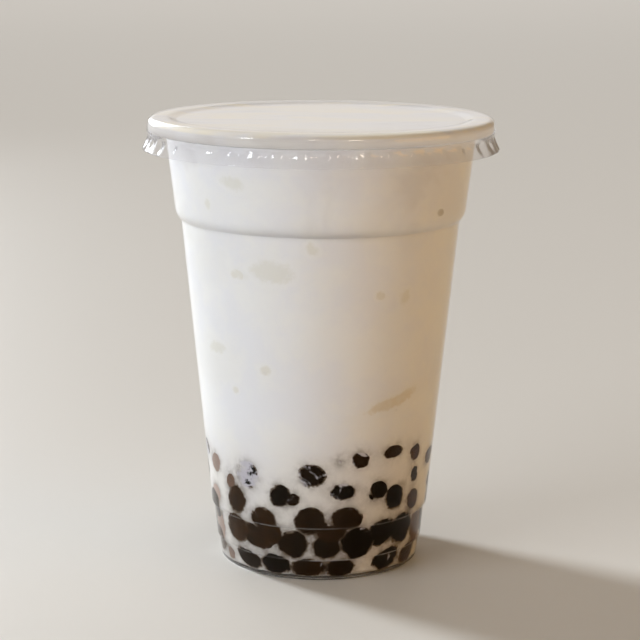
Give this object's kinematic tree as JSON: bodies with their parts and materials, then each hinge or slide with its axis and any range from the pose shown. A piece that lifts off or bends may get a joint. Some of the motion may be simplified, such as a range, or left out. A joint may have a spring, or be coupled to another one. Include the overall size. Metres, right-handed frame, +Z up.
{
  "type": "coconut smoothie with tapioca pearls in a lidded cup",
  "caption": "White coconut smoothie over a bed of dark tapioca pearls, in a clear tapered takeaway cup with a shoulder, stacking ledges and a flat press-fit lid.",
  "frame": {"origin": "centre of the foot, on the surface that the cup stands on", "axes": "+Z up along the cup's axis"},
  "size_m": [0.0998, 0.0998, 0.1262],
  "materials": {
    "clear_cup": "clear moulded plastic, polished",
    "clear_lid": "thin clear plastic, slightly hazy",
    "smoothie": "opaque creamy white liquid",
    "pearls": "wet, nearly black, brown at the edges"
  },
  "bodies": {
    "root": {"cup": "clear_cup", "lid": "clear_lid", "drink": "smoothie", "tapioca_pearls": "pearls"}
  },
  "joints": []
}
